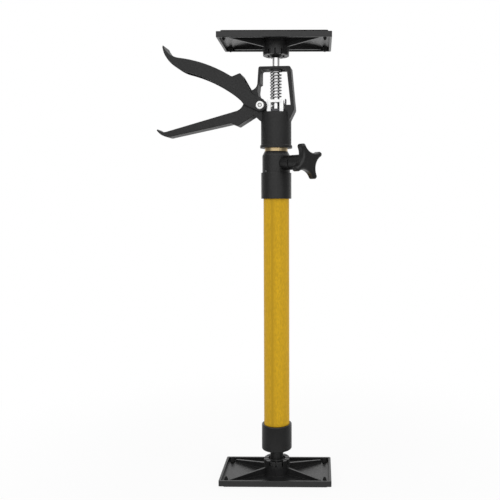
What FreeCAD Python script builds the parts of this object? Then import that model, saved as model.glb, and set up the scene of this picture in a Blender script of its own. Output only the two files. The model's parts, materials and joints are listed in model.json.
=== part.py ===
import FreeCAD, Part
import math
import os
import re
import Sketcher

# A telescopic support prop: swivel foot, clamped double tube, pump head and swivel top pad.
# The origin is on the floor under the pole, Z is up and the handles point along -X.
# Sizes are in millimetres and degrees, and heights count from the floor.
SIZES = {
    "prop_height": 483.0,
    "tube_diameter": 28.0,
    "tube_wall": 1.2,
    "inner_diameter": 25.0,
    "inner_bottom": 60.3,
    "guide_flange": 4.0,
    "guide_length": 12.0,
    "running_fit": 0.05,
    "free_gap": 0.3,
    "pad_length": 120.4,
    "pad_depth": 67.0,
    "rim_height": 5.9,
    "rim_wall": 2.6,
    "floor_thickness": 2.4,
    "rib_thickness": 2.2,
    "rib_rise": 9.7,
    "hub_base": 29.4,
    "hub_end": 28.2,
    "hub_height": 18.2,
    "sole_thickness": 2.2,
    "sole_inset": 4.0,
    "peg_diameter": 4.2,
    "peg_barb": 5.6,
    "peg_root": 2.8,
    "peg_inset": 7.3,
    "peg_height": 7.6,
    "ball_radius": 9.8,
    "ball_height": 11.6,
    "seat_wall": 0.8,
    "mouth_radius": 9.4,
    "neck_diameter": 14.6,
    "collar_diameter": 33.0,
    "collar_bottom": 31.6,
    "collar_top": 59.4,
    "collar_round": 1.0,
    "tube_bottom": 36.5,
    "tube_top": 340.5,
    "sleeve_bottom": 308.0,
    "sleeve_step": 336.1,
    "sleeve_top": 359.3,
    "sleeve_neck": 30.3,
    "sleeve_bevel": 4.8,
    "pin_diameter": 2.6,
    "pin_height": 337.2,
    "knob_height": 346.4,
    "knob_radius": 20.0,
    "knob_thickness": 9.2,
    "knob_root": 10.0,
    "knob_valley": 14.5,
    "knob_hub": 15.8,
    "knob_back": 44.4,
    "boss_diameter": 15.6,
    "boss_reach": 26.0,
    "insert_diameter": 12.0,
    "insert_inner": 18.2,
    "screw_diameter": 8.0,
    "shoe_diameter": 10.0,
    "shoe_back": 15.6,
    "skirt_bottom": 363.0,
    "skirt_top": 401.2,
    "flare_diameter": 35.0,
    "flare_height": 3.7,
    "web_bottom": 397.0,
    "bar_bottom": 447.2,
    "bar_top": 450.2,
    "frame_depth": 17.5,
    "pivot_across": 15.7,
    "pivot_height": 408.3,
    "pivot_diameter": 6.0,
    "rivet_head": 9.3,
    "lever_width": 23.3,
    "cheek_wall": 2.6,
    "handle_wall": 3.0,
    "cam_width": 8.0,
    "cam_hub": 12.4,
    "cam_reach": 8.9,
    "cam_nose": 4.0,
    "yoke_bottom": 402.0,
    "yoke_height": 12.9,
    "yoke_plate": 3.0,
    "yoke_length": 17.8,
    "yoke_depth": 15.0,
    "yoke_leg": 4.1,
    "yoke_wall": 2.1,
    "plate_bottom": 402.9,
    "plate_thickness": 2.5,
    "plate_depth": 10.2,
    "tab_rise": 13.0,
    "rod_diameter": 8.0,
    "rod_bottom": 333.0,
    "stop_diameter": 15.0,
    "bush_diameter": 12.0,
    "bush_flange": 1.2,
    "bush_lip": 0.6,
    "spring_diameter": 13.6,
    "spring_wire": 1.4,
    "spring_turns": 9.0,
    "screw_level": 383.0,
    "screw_socket": 2.0,
    "rivet_rise": 1.6,
    "rivet_dimple": 0.6,
    "tab_across": 9.9,
    "tab_thickness": 1.2,
    "tab_depth": 5.0,
    "lock_diameter": 5.0,
    "lock_wire": 0.7,
    "lock_turns": 2.5,
    "lock_across": 7.4,
    "stop_height": 3.0,
    "head_turn": -5.0,
}

# Angles in degrees that are not bound to the sheet, and the signs of a rectangle's four corners.
KNOB_AZIMUTH = -45.0
PIN_AZIMUTH = -134.5
LOBE_TURN = 27.7
CAM_ANGLE = 8.0
SEAT_LOW = -42
SEAT_HIGH = 27
CORNERS = ((-1, -1), (1, -1), (1, 1), (-1, 1))

doc = FreeCAD.newDocument("support_prop")
sheet = doc.addObject("Spreadsheet::Sheet", "sizes")
for row, (alias, value) in enumerate(SIZES.items(), start=1):
    sheet.set(f"A{row}", alias)
    sheet.set(f"B{row}", str(value))
    sheet.setAlias(f"B{row}", alias)
doc.recompute()

X_AXIS = FreeCAD.Vector(1, 0, 0)
Y_AXIS = FreeCAD.Vector(0, 1, 0)
Z_AXIS = FreeCAD.Vector(0, 0, 1)
UPRIGHT = FreeCAD.Rotation()
ALONG_Y = FreeCAD.Rotation(X_AXIS, -90)
HEAD_TURN = FreeCAD.Rotation(Z_AXIS, SIZES["head_turn"])
nodes = []


def bind(item, path, formula):
    """Ties a property to a formula; every name with an underscore is a cell of the sheet."""
    item.setExpression(path, re.sub(r"\b([a-z]+_[a-z_]+)\b", r"sizes.\1", formula))


def new_body(label):
    body = doc.addObject("PartDesign::Body", label)
    body.Label = label
    nodes.append(body)
    return body


def sketch_on(body, role):
    plane = [item for item in body.Origin.OriginFeatures if item.Role == role][0]
    sketch = body.newObject("Sketcher::SketchObject", "outline")
    sketch.AttachmentSupport = [(plane, "")]
    sketch.MapMode = "FlatFace"
    return sketch


def polygon(sketch, corners):
    """Draws a closed outline whose corners are pairs of formulas."""
    first = sketch.GeometryCount
    count = len(corners)
    angles = [0.4 + 2 * math.pi * step / count for step in range(count)]
    ring = [FreeCAD.Vector(100 * math.cos(angle), 100 * math.sin(angle), 0) for angle in angles]
    for step in range(count):
        sketch.addGeometry(Part.LineSegment(ring[step], ring[(step + 1) % count]), False)
    for step in range(count):
        following = first + (step + 1) % count
        sketch.addConstraint(Sketcher.Constraint("Coincident", first + step, 2, following, 1))
    for step, formulas in enumerate(corners):
        for kind, formula, start in zip(("DistanceX", "DistanceY"), formulas, ring[step]):
            index = sketch.addConstraint(Sketcher.Constraint(kind, -1, 1, first + step, 1, start))
            bind(sketch, f"Constraints[{index}]", formula)


def circle(sketch, across, up, radius):
    """Draws a circle whose centre and radius are formulas."""
    index = sketch.addGeometry(Part.Circle(FreeCAD.Vector(10, 10, 0), Z_AXIS, 5), False)
    for kind, formula in (("DistanceX", across), ("DistanceY", up)):
        number = sketch.addConstraint(Sketcher.Constraint(kind, -1, 1, index, 3, 10))
        bind(sketch, f"Constraints[{number}]", formula)
    number = sketch.addConstraint(Sketcher.Constraint("Radius", index, 5))
    bind(sketch, f"Constraints[{number}]", radius)


def trace(sketch, start, steps):
    """Draws a closed outline; a step is an end point, or an arc's middle point and end point."""
    here = FreeCAD.Vector(*start, 0)
    for step in steps:
        end = FreeCAD.Vector(*step[-2:], 0)
        if len(step) == 4:
            sketch.addGeometry(Part.Arc(here, FreeCAD.Vector(*step[:2], 0), end), False)
        else:
            sketch.addGeometry(Part.LineSegment(here, end), False)
        here = end
    if here != FreeCAD.Vector(*start, 0):
        sketch.addGeometry(Part.LineSegment(here, FreeCAD.Vector(*start, 0)), False)


def tangent_arcs(start, heading, ends):
    """Steps of arcs that follow each other with no corner; the first leaves along a heading in degrees."""
    steps = []
    for end in ends:
        chord = math.degrees(math.atan2(end[1] - start[1], end[0] - start[0]))
        swing = (chord - heading + 180) % 360 - 180
        reach = math.dist(start, end) / (2 * math.cos(math.radians(swing / 2)))
        towards = math.radians(heading + swing / 2)
        steps.append((start[0] + reach * math.cos(towards), start[1] + reach * math.sin(towards)) + end)
        heading += 2 * swing
        start = end
    return steps


def pad(body, sketch, length, symmetric=False):
    feature = body.newObject("PartDesign::Pad", "pad")
    feature.Profile = sketch
    feature.SideType = "Symmetric" if symmetric else "One side"
    bind(feature, "Length", length)
    return feature


def pocket(body, sketch, length, symmetric=False):
    feature = body.newObject("PartDesign::Pocket", "pocket")
    feature.Profile = sketch
    feature.SideType = "Symmetric" if symmetric else "One side"
    bind(feature, "Length", length)
    return feature


def revolve(body, corners):
    """Turns a profile of (radius, height) corners about the body's Z axis."""
    profile = sketch_on(body, "XZ_Plane")
    polygon(profile, corners)
    feature = body.newObject("PartDesign::Revolution", "turned")
    feature.Profile = profile
    feature.ReferenceAxis = (profile, ["V_Axis"])
    feature.Angle = 360


def turned(label, corners):
    body = new_body(label)
    revolve(body, corners)
    return body


def primitive(body, kind, sizes, at, turn=UPRIGHT):
    """Adds a primitive such as SubtractiveCylinder with bound sizes and position."""
    feature = body.newObject("PartDesign::" + kind, "shape")
    feature.Placement = FreeCAD.Placement(FreeCAD.Vector(), turn)
    for name, formula in sizes.items():
        bind(feature, name, formula)
    for axis, formula in zip("xyz", at):
        bind(feature, "Placement.Base." + axis, formula)


def drill(body, radius, height, at, turn=UPRIGHT):
    primitive(body, "SubtractiveCylinder", {"Radius": radius, "Height": height}, at, turn)


def round_edges(body, kind, size, chosen):
    """Adds a Fillet or Chamfer on the edges that the test picks."""
    doc.recompute()
    base = body.Tip
    names = [f"Edge{number}" for number, edge in enumerate(base.Shape.Edges, start=1) if chosen(edge)]
    feature = body.newObject("PartDesign::" + kind, "edges")
    feature.Base = (base, names)
    bind(feature, "Radius" if kind == "Fillet" else "Size", size)


def level_at(height):
    """Picks the edges that lie level at a height on the Z axis."""
    return lambda edge: edge.BoundBox.ZLength < 0.01 and abs(edge.BoundBox.ZMin - height) < 0.01


def ring_at(radius, height):
    """Picks the circular edge of a radius at a height on the Z axis."""
    def test(edge):
        round_one = hasattr(edge.Curve, "Radius") and abs(edge.Curve.Radius - radius) < 0.01
        return round_one and level_at(height)(edge)
    return test


def standing_at(places):
    """Picks straight edges along Y that pass through one of the (x, z) places."""
    def test(edge):
        box = edge.BoundBox
        straight = box.XLength < 0.01 and box.ZLength < 0.01
        return straight and any(abs(box.XMin - x) < 0.1 and abs(box.ZMin - z) < 0.1 for x, z in places)
    return test


def face_edges(half_depth):
    """Picks the edges that lie in the planes y = +half_depth and y = -half_depth."""
    def test(edge):
        box = edge.BoundBox
        return box.YLength < 0.01 and abs(abs(box.YMin) - half_depth) < 0.01
    return test


def on_head(body, across="0", height="0", turn=UPRIGHT):
    """Places a piece of the head, which stands swivelled about the pole."""
    body.Placement = FreeCAD.Placement(FreeCAD.Vector(), HEAD_TURN.multiply(turn))
    bind(body, "Placement.Base.x", f"({across}) * cos(head_turn)")
    bind(body, "Placement.Base.y", f"({across}) * sin(head_turn)")
    bind(body, "Placement.Base.z", height)


def radial(azimuth):
    """The turn that lays the Z axis level, pointing out from the pole."""
    return FreeCAD.Rotation(Z_AXIS, azimuth).multiply(FreeCAD.Rotation(Y_AXIS, 90))


# The foot and the top pad are the same moulding: tray, ribs, hub and ball socket.
def pad_moulding(label):
    body = new_body(label)
    tray = sketch_on(body, "XY_Plane")
    polygon(tray, [(f"{x} * pad_length / 2", f"{y} * pad_depth / 2") for x, y in CORNERS])
    pad(body, tray, "rim_height")
    round_edges(body, "Fillet", "rim_wall * 0.6", lambda edge: edge.BoundBox.ZLength > 1)
    hollow = sketch_on(body, "XY_Plane")
    bind(hollow, "AttachmentOffset.Base.z", "rim_height")
    inner = [(f"{x} * (pad_length / 2 - rim_wall)", f"{y} * (pad_depth / 2 - rim_wall)")
             for x, y in CORNERS]
    polygon(hollow, inner)
    pocket(body, hollow, "rim_height - floor_thickness")
    round_edges(body, "Fillet", "rim_wall * 0.2", level_at(SIZES["rim_height"]))
    rib_angle = math.degrees(math.atan2(SIZES["pad_depth"], SIZES["pad_length"]))
    for turn in (rib_angle, -rib_angle):
        rib = sketch_on(body, "XZ_Plane")
        rib.AttachmentOffset = FreeCAD.Placement(FreeCAD.Vector(), FreeCAD.Rotation(Y_AXIS, turn))
        reach = "(sqrt(pad_length ^ 2 + pad_depth ^ 2) / 2 - 1.8 * peg_inset)"
        corners = [("-" + reach, "floor_thickness / 2"), (reach, "floor_thickness / 2"),
                   (reach, "rim_height * 0.84"), ("hub_base / 2", "rib_rise"),
                   ("-hub_base / 2", "rib_rise"), ("-" + reach, "rim_height * 0.84")]
        polygon(rib, corners)
        pad(body, rib, "rib_thickness", symmetric=True)
    revolve(body, [("0", "floor_thickness / 2"), ("hub_base / 2", "floor_thickness / 2"),
                   ("hub_end / 2", "hub_height"), ("0", "hub_height")])
    round_edges(body, "Fillet", "free_gap", ring_at(SIZES["hub_end"] / 2, SIZES["hub_height"]))
    socket = {"Radius": "ball_radius + seat_wall + 2 * running_fit"}
    primitive(body, "SubtractiveSphere", socket, ("0", "0", "ball_height"))
    drill(body, "mouth_radius", "hub_height", ("0", "0", "ball_height"))
    holes = sketch_on(body, "XY_Plane")
    bind(holes, "AttachmentOffset.Base.z", "rim_height")
    for x, y in CORNERS:
        circle(holes, f"{x} * (pad_length / 2 - peg_inset)", f"{y} * (pad_depth / 2 - peg_inset)",
               "peg_diameter / 2 + running_fit")
    pocket(body, holes, "rim_height")
    return body


def rubber_sole(label):
    body = new_body(label)
    sheet_outline = sketch_on(body, "XY_Plane")
    bind(sheet_outline, "AttachmentOffset.Base.z", "-sole_thickness")
    corners = [(f"{x} * (pad_length / 2 - sole_inset)", f"{y} * (pad_depth / 2 - sole_inset)")
               for x, y in CORNERS]
    polygon(sheet_outline, corners)
    pad(body, sheet_outline, "sole_thickness")
    round_edges(body, "Fillet", "sole_thickness", lambda edge: edge.BoundBox.ZLength > 1)
    stem = {"Radius": "peg_diameter / 2", "Height": "peg_root + free_gap"}
    barb = {"Radius1": "peg_barb / 2", "Radius2": "peg_diameter / 4", "Height": "peg_height - peg_root"}
    for x, y in CORNERS:
        across = f"{x} * (pad_length / 2 - peg_inset)"
        along = f"{y} * (pad_depth / 2 - peg_inset)"
        primitive(body, "AdditiveCylinder", stem, (across, along, "0"))
        primitive(body, "AdditiveCone", barb, (across, along, "peg_root"))
    return body


def ball_seat(label):
    """A ring between two spheres, cut level above and below the ball's middle."""
    outer = doc.addObject("Part::Sphere", label + "_outside")
    bind(outer, "Radius", "ball_radius + seat_wall + running_fit")
    outer.Angle1 = SEAT_LOW
    outer.Angle2 = SEAT_HIGH
    inner = doc.addObject("Part::Sphere", label + "_inside")
    bind(inner, "Radius", "ball_radius + running_fit")
    seat = doc.addObject("Part::Cut", label)
    seat.Label = label
    seat.Base = outer
    seat.Tool = inner
    nodes.append(seat)
    return seat


UPSIDE_DOWN = FreeCAD.Rotation(X_AXIS, 180)
for label, maker in (("pad", pad_moulding), ("rubber", rubber_sole)):
    foot = maker("foot_" + label)
    bind(foot, "Placement.Base.z", "sole_thickness")
    top = maker("top_" + label)
    top.Placement = FreeCAD.Placement(FreeCAD.Vector(), UPSIDE_DOWN)
    bind(top, "Placement.Base.z", "prop_height - sole_thickness")

foot_seat = ball_seat("foot_seat")
bind(foot_seat, "Placement.Base.z", "sole_thickness + ball_height")
top_seat = ball_seat("top_seat")
top_seat.Placement = FreeCAD.Placement(FreeCAD.Vector(), UPSIDE_DOWN)
bind(top_seat, "Placement.Base.z", "prop_height - sole_thickness - ball_height")

# The collar carries the tube and ends in the ball that sits in the foot.
base_collar = turned("base_collar", [
    ("0", "sole_thickness + ball_height"),
    ("neck_diameter / 2", "sole_thickness + ball_height"),
    ("neck_diameter / 2", "collar_bottom"),
    ("collar_diameter / 2", "collar_bottom"),
    ("collar_diameter / 2", "collar_top"),
    ("tube_diameter / 2 + running_fit", "collar_top"),
    ("tube_diameter / 2 + running_fit", "tube_bottom - free_gap"),
    ("0", "tube_bottom - free_gap"),
])
for end in ("collar_bottom", "collar_top"):
    round_edges(base_collar, "Fillet", "collar_round", ring_at(SIZES["collar_diameter"] / 2, SIZES[end]))
foot_centre = ("0", "0", "sole_thickness + ball_height")
primitive(base_collar, "AdditiveSphere", {"Radius": "ball_radius"}, foot_centre)

pin_turn = radial(PIN_AZIMUTH)
outer_tube = turned("outer_tube", [
    ("tube_diameter / 2 - tube_wall", "tube_bottom"),
    ("tube_diameter / 2", "tube_bottom"),
    ("tube_diameter / 2", "tube_top"),
    ("tube_diameter / 2 - tube_wall", "tube_top"),
])
drill(outer_tube, "pin_diameter / 2 + running_fit", "tube_diameter", ("0", "0", "pin_height"), pin_turn)

# The stepped sleeve has a boss whose bore holds the insert, the screw and the shoe.
knob_turn = radial(KNOB_AZIMUTH)
knob_centre = ("0", "0", "knob_height")
knob_x = math.cos(math.radians(KNOB_AZIMUTH))
knob_y = math.sin(math.radians(KNOB_AZIMUTH))


def along_knob(distance):
    """Formulas for a place on the knob's axis at a distance from the pole."""
    return (f"({distance}) * {knob_x:.6f}", f"({distance}) * {knob_y:.6f}", "knob_height")


clamp_sleeve = turned("clamp_sleeve", [
    ("tube_diameter / 2 + running_fit", "sleeve_bottom"),
    ("collar_diameter / 2", "sleeve_bottom"),
    ("collar_diameter / 2", "sleeve_step"),
    ("sleeve_neck / 2", "sleeve_step"),
    ("sleeve_neck / 2", "sleeve_top - sleeve_bevel"),
    ("inner_diameter / 2 + free_gap", "sleeve_top"),
    ("inner_diameter / 2 + running_fit", "sleeve_top"),
    ("inner_diameter / 2 + running_fit", "tube_top + free_gap"),
    ("tube_diameter / 2 + running_fit", "tube_top + free_gap"),
])
boss_start = "(inner_diameter / 2 + 2 * running_fit)"
boss = {"Radius": "boss_diameter / 2", "Height": f"boss_reach - {boss_start}"}
primitive(clamp_sleeve, "AdditiveCylinder", boss, along_knob(boss_start), knob_turn)
sleeve_start = ("0", "0", "sleeve_bottom")
drill(clamp_sleeve, "tube_diameter / 2 + running_fit", "tube_top + free_gap - sleeve_bottom", sleeve_start)
drill(clamp_sleeve, "inner_diameter / 2 + running_fit", "sleeve_top - sleeve_bottom", sleeve_start)
insert_start = along_knob("insert_inner")
drill(clamp_sleeve, "insert_diameter / 2 + running_fit", "boss_reach", insert_start, knob_turn)
drill(clamp_sleeve, "shoe_diameter / 2 + running_fit", "insert_inner", knob_centre, knob_turn)
drill(clamp_sleeve, "pin_diameter / 2 + running_fit", "tube_diameter", ("0", "0", "pin_height"), pin_turn)


def place_radial(body, turn, height):
    body.Placement = FreeCAD.Placement(FreeCAD.Vector(), turn)
    bind(body, "Placement.Base.z", height)


sleeve_pin = turned("sleeve_pin", [
    ("0", "tube_diameter / 2 - tube_wall + running_fit"),
    ("pin_diameter / 2", "tube_diameter / 2 - tube_wall + running_fit"),
    ("pin_diameter / 2", "sleeve_neck / 2"),
    ("pin_diameter / 3", "sleeve_neck / 2 + free_gap"),
    ("0", "sleeve_neck / 2 + free_gap"),
])
place_radial(sleeve_pin, pin_turn, "pin_height")

clamp_insert = turned("clamp_insert", [
    ("screw_diameter / 2 + running_fit", "insert_inner"),
    ("insert_diameter / 2", "insert_inner"),
    ("insert_diameter / 2", "boss_reach"),
    ("screw_diameter / 2 + running_fit", "boss_reach"),
])
place_radial(clamp_insert, knob_turn, "knob_height")

# The shoe's inner face is hollowed to the inner tube.
clamp_shoe = turned("clamp_shoe", [
    ("0", "inner_diameter / 4"),
    ("shoe_diameter / 2", "inner_diameter / 4"),
    ("shoe_diameter / 2", "shoe_back"),
    ("0", "shoe_back"),
])
drill(clamp_shoe, "inner_diameter / 2 + running_fit", "2 * tube_diameter", ("-tube_diameter", "0", "0"),
      FreeCAD.Rotation(Y_AXIS, 90))
place_radial(clamp_shoe, knob_turn, "knob_height")

clamp_screw = turned("clamp_screw", [
    ("0", "shoe_back + 2 * running_fit"),
    ("screw_diameter / 3", "shoe_back + 2 * running_fit"),
    ("screw_diameter / 2", "insert_inner"),
    ("screw_diameter / 2", "knob_back + knob_thickness / 2"),
    ("0", "knob_back + knob_thickness / 2"),
])
place_radial(clamp_screw, knob_turn, "knob_height")

# The star knob is a disc with four scalloped valleys and rounded lobe tips.
star_knob = new_body("star_knob")
disc = sketch_on(star_knob, "XY_Plane")
bind(disc, "AttachmentOffset.Base.z", "knob_back")
circle(disc, "0", "0", "knob_radius")
pad(star_knob, disc, "knob_thickness")
valleys = sketch_on(star_knob, "XY_Plane")
bind(valleys, "AttachmentOffset.Base.z", "knob_back + knob_thickness")
for step in range(4):
    angle = math.radians(45 + 90 * step)
    reach = "(knob_root + knob_valley)"
    circle(valleys, f"{reach} * {math.cos(angle):.6f}", f"{reach} * {math.sin(angle):.6f}", "knob_valley")
pocket(star_knob, valleys, "knob_thickness")


def lobe_corner(edge):
    """Picks the straight edges that run through the knob's thickness."""
    box = edge.BoundBox
    return box.ZLength > SIZES["knob_thickness"] / 2 and box.XLength < 0.01 and box.YLength < 0.01


knob_front = SIZES["knob_back"] + SIZES["knob_thickness"]
round_edges(star_knob, "Fillet", "knob_radius * 0.14", lobe_corner)
round_edges(star_knob, "Fillet", "knob_thickness * 0.28", level_at(knob_front))
round_edges(star_knob, "Fillet", "knob_thickness * 0.2", level_at(SIZES["knob_back"]))
revolve(star_knob, [
    ("0", "boss_reach + 2 * free_gap"),
    ("knob_hub / 2 - 2 * free_gap", "boss_reach + 2 * free_gap"),
    ("knob_hub / 2", "boss_reach + 4 * free_gap"),
    ("knob_hub / 2", "knob_back + knob_thickness / 2"),
    ("0", "knob_back + knob_thickness / 2"),
])
stud_end = "knob_back + knob_thickness / 2 + free_gap"
drill(star_knob, "screw_diameter / 2 + running_fit", stud_end, ("0", "0", "0"))
lobe_turn = FreeCAD.Rotation(Z_AXIS, LOBE_TURN)
star_knob.Placement = FreeCAD.Placement(FreeCAD.Vector(), knob_turn.multiply(lobe_turn))
bind(star_knob, "Placement.Base.z", "knob_height")

# The inner tube runs in the sleeve above and on a guide plug below.
inner_guide = turned("inner_guide", [
    ("inner_diameter / 2 - 3 * tube_wall", "inner_bottom - guide_flange"),
    ("tube_diameter / 2 - tube_wall - 2 * running_fit", "inner_bottom - guide_flange"),
    ("tube_diameter / 2 - tube_wall - 2 * running_fit", "inner_bottom - free_gap"),
    ("inner_diameter / 2 - tube_wall - running_fit", "inner_bottom - free_gap"),
    ("inner_diameter / 2 - tube_wall - running_fit", "inner_bottom + guide_length"),
    ("inner_diameter / 2 - 3 * tube_wall", "inner_bottom + guide_length"),
])
inner_tube = turned("inner_tube", [
    ("inner_diameter / 2 - tube_wall", "inner_bottom"),
    ("inner_diameter / 2", "inner_bottom"),
    ("inner_diameter / 2", "web_bottom - free_gap"),
    ("inner_diameter / 2 - tube_wall", "web_bottom - free_gap"),
])
on_head(inner_tube)

# The head's casting is drawn about the lever's pivot: frame, pivot lugs and fixed handle in one outline.
pump_head = new_body("pump_head")


def head_sketch():
    sketch = sketch_on(pump_head, "XZ_Plane")
    bind(sketch, "AttachmentOffset.Base.x", "-pivot_across")
    bind(sketch, "AttachmentOffset.Base.y", "pivot_height")
    return sketch


casting = head_sketch()
right_top = (32.5, 41.9)
right_corner = (36.8, -4.4)
left_top = (-2.2, 41.9)
shoulder = (-10.0, 16.6)
palm_start = (-26.1, -5.2)
hook_root = (-105.2, -27.0)
hook_tip = (-114.8, -24.2)
hook_end = (-115.4, -25.4)
under_tip = (-102.4, -32.9)
under_root = (-32.6, -18.6)
heel = (-25.2, -21.7)
trace(casting, (30.6, -16.9), [
    right_corner,
    right_top,
    left_top,
    (-3.5, 23.5),
    (-5.7, 19.0) + shoulder,
    (-18.7, 3.2),
    (-21.2, -1.8) + palm_start,
    hook_root,
    (-110.4, -26.7) + hook_tip,
    hook_end,
    (-109.6, -30.7) + under_tip,
    under_root,
    heel,
    (-7.0, -10.5),
    (-1.6, -15.6),
    (2.4, -18.6),
])
pad(pump_head, casting, "frame_depth", symmetric=True)
pivot_x = -SIZES["pivot_across"]
pivot_z = SIZES["pivot_height"]


def head_corners(places):
    return standing_at([(pivot_x + x, pivot_z + z) for x, z in places])


def casting_faces(edge):
    """Picks the long edges of both faces, short of the handle's thin tip."""
    return face_edges(SIZES["frame_depth"] / 2)(edge) and edge.BoundBox.XMax > pivot_x + under_tip[0] + 1


round_edges(pump_head, "Fillet", "frame_depth * 0.22", head_corners([right_corner]))
round_edges(pump_head, "Fillet", "frame_depth * 0.12",
            head_corners([right_top, left_top, shoulder, heel, under_root]))
round_edges(pump_head, "Fillet", "frame_depth * 0.04", casting_faces)
window = head_sketch()
window_left = (0.0, 38.9)
window_right = (28.5, 38.9)
trace(window, window_left, [
    window_right,
    (32.6, 0.4),
    (25.7, 0.4),
    (25.7, -7.1),
    (5.7, -7.1),
    (5.7, 1.4),
    (3.3, 6.5),
    (-2.0, 9.6),
    (-3.2, 14.8),
    (-2.3, 23.0),
    (-0.2, 24.2),
])
pocket(pump_head, window, "2 * frame_depth", symmetric=True)
round_edges(pump_head, "Fillet", "frame_depth * 0.12", head_corners([window_left, window_right]))
handle_hollow = head_sketch()
trace(handle_hollow, (-97.0, -28.7), [(-36.0, -16.2), (-33.0, -2.0), (-95.0, -18.0)])
pocket(pump_head, handle_hollow, "frame_depth - 2 * handle_wall", symmetric=True)
revolve(pump_head, [
    ("0", "skirt_bottom"),
    ("flare_diameter / 2", "skirt_bottom"),
    ("flare_diameter / 2", "skirt_bottom + flare_height * 0.7"),
    ("collar_diameter / 2", "skirt_bottom + flare_height"),
    ("collar_diameter / 2", "skirt_top"),
    ("0", "skirt_top"),
])
skirt_start = ("0", "0", "skirt_bottom")
bar_start = ("0", "0", "bar_bottom - free_gap")
drill(pump_head, "inner_diameter / 2 + running_fit", "web_bottom - skirt_bottom", skirt_start)
drill(pump_head, "rod_diameter / 2 + free_gap", "pivot_height - skirt_bottom", skirt_start)
drill(pump_head, "bush_diameter / 2 + running_fit", "2 * (bar_top - bar_bottom)", bar_start)
pivot_place = ("-pivot_across", "-frame_depth", "pivot_height")
drill(pump_head, "pivot_diameter / 2 + running_fit", "2 * frame_depth", pivot_place, ALONG_Y)
cam_place = ("-pivot_across", "-cam_width / 2 - free_gap", "pivot_height")
drill(pump_head, "cam_hub / 2 + 5 * free_gap", "cam_width + 2 * free_gap", cam_place, ALONG_Y)
drill(pump_head, "screw_diameter / 3 + running_fit", "flare_diameter", ("0", "0", "screw_level"), ALONG_Y)
lock_hole = ("lock_across", "0", "web_bottom + lock_wire")
drill(pump_head, "lock_diameter / 2 + free_gap", "skirt_top", lock_hole)
tab_slot = head_sketch()
tab_right = "pivot_across + tab_across + tab_thickness + 3 * free_gap"
polygon(tab_slot, [
    ("pivot_across", "skirt_top - pivot_height"),
    (tab_right, "skirt_top - pivot_height"),
    (tab_right, "skirt_top - pivot_height + tab_rise"),
    ("pivot_across", "skirt_top - pivot_height + tab_rise"),
])
pocket(pump_head, tab_slot, "tab_depth + 4 * free_gap", symmetric=True)
on_head(pump_head)

# A set screw at the back holds the head on the inner tube.
head_screw = turned("head_screw", [
    ("0", "inner_diameter / 2 + running_fit"),
    ("screw_diameter / 3", "inner_diameter / 2 + running_fit"),
    ("screw_diameter / 3", "collar_diameter / 2 - free_gap"),
    ("screw_diameter / 6", "collar_diameter / 2 - free_gap"),
    ("screw_diameter / 6", "collar_diameter / 2 - screw_socket"),
    ("0", "collar_diameter / 2 - screw_socket"),
])
on_head(head_screw, "0", "screw_level", ALONG_Y)

rod_bush = turned("rod_bush", [
    ("rod_diameter / 2 + running_fit", "bar_bottom - bush_flange"),
    ("spring_diameter / 2 + free_gap", "bar_bottom - bush_flange"),
    ("spring_diameter / 2 + free_gap", "bar_bottom - running_fit"),
    ("bush_diameter / 2", "bar_bottom - running_fit"),
    ("bush_diameter / 2", "bar_top + bush_lip"),
    ("rod_diameter / 2 + running_fit", "bar_top + bush_lip"),
])
on_head(rod_bush)

# The squeeze lever is a channel, open below, drawn about its pivot.
pump_lever = new_body("pump_lever")
END_RADIUS = 6.7
upper_end = (-8.6, 12.6)
lower_end = (-17.8, 1.0)
grip_start = (-21.1, 5.1)
lever_tip = (-106.8, 66.2)
notch = (-31.0, 31.2)
peak = (-21.6, 34.8)
peak_foot = (-11.2, 16.6)


def touch(point, side):
    """Where a line from the point touches the lever's round end."""
    spread = math.acos(END_RADIUS / math.hypot(*point))
    angle = math.atan2(point[1], point[0]) + side * spread
    return (END_RADIUS * math.cos(angle), END_RADIUS * math.sin(angle))


lever_outline = sketch_on(pump_lever, "XZ_Plane")
palm_side = tangent_arcs(lever_tip, -68.0, [(-89.2, 52.5), notch])
grip_side = tangent_arcs(grip_start, 138.6, [(-81.4, 37.4), (-103.5, 53.6), (-107.4, 64.4)])
round_end = touch(upper_end, -1)
trace(lever_outline, lever_tip, palm_side + [
    peak,
    peak_foot,
    upper_end,
    round_end,
    (END_RADIUS, 0.0) + touch(lower_end, 1),
    lower_end,
    grip_start,
] + grip_side)
pad(pump_lever, lever_outline, "lever_width", symmetric=True)
round_edges(pump_lever, "Fillet", "cheek_wall", standing_at([notch]))
round_edges(pump_lever, "Fillet", "cheek_wall * 0.5", standing_at([peak, peak_foot, upper_end, lower_end]))
round_edges(pump_lever, "Fillet", "cheek_wall * 0.25", face_edges(SIZES["lever_width"] / 2))
channel = sketch_on(pump_lever, "XZ_Plane")
trace(channel, (-89.0, 32.0), [
    (-88.5, 48.6),
    (-60.3, 41.7, -33.5, 28.4),
    (-30.4, 28.0),
    (-22.4, 31.0),
    (0.0, 34.0),
    (20.0, 20.0),
    (20.0, -20.0),
    (-40.0, -20.0),
])
pocket(pump_lever, channel, "lever_width - 2 * cheek_wall", symmetric=True)
lever_side = ("0", "-lever_width", "0")
drill(pump_lever, "pivot_diameter / 2 + running_fit", "2 * lever_width", lever_side, ALONG_Y)
on_head(pump_lever, "-pivot_across", "pivot_height")

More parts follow.
